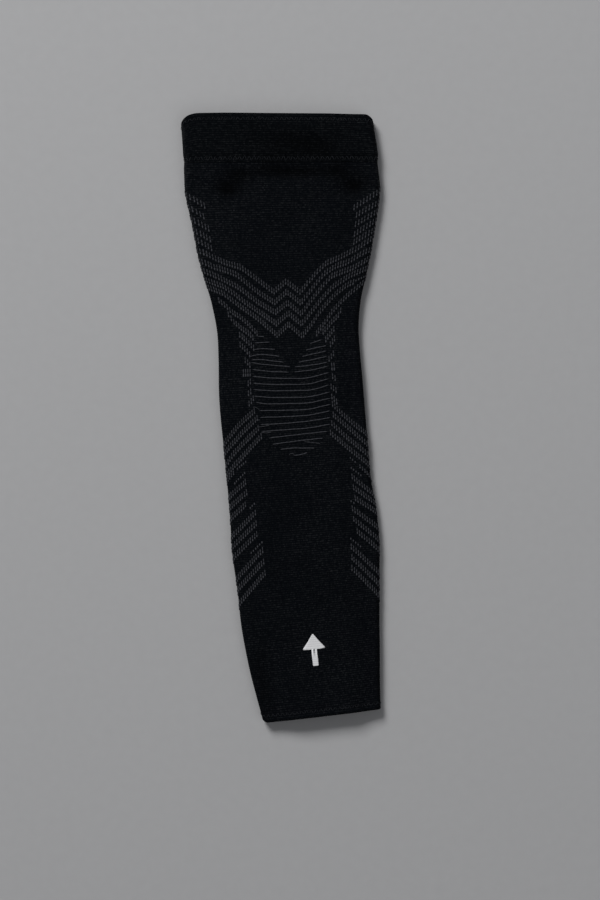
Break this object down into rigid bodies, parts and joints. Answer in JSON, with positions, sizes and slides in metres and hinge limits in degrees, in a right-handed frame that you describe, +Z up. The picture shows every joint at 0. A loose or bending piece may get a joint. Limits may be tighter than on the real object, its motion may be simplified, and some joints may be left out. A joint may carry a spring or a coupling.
{
  "type": "arm compression sleeve",
  "caption": "Knitted full-length arm compression sleeve lying flat: a tapered elastic tube with a folded upper cuff, a ribbed elbow patch and a turned wrist hem.",
  "frame": {"origin": "middle of the underside's bounding box, on the surface that the sleeve lies on", "axes": "+Y along the sleeve from the wrist to the upper arm, +Z up from the surface, +X to the right as seen from above"},
  "size_m": [0.1298, 0.4056, 0.0126],
  "materials": {
    "knit": "matte",
    "band": "matte"
  },
  "bodies": {
    "root": {"sleeve_body": "knit", "upper_cuff": "band", "wrist_hem": "band"}
  },
  "joints": []
}
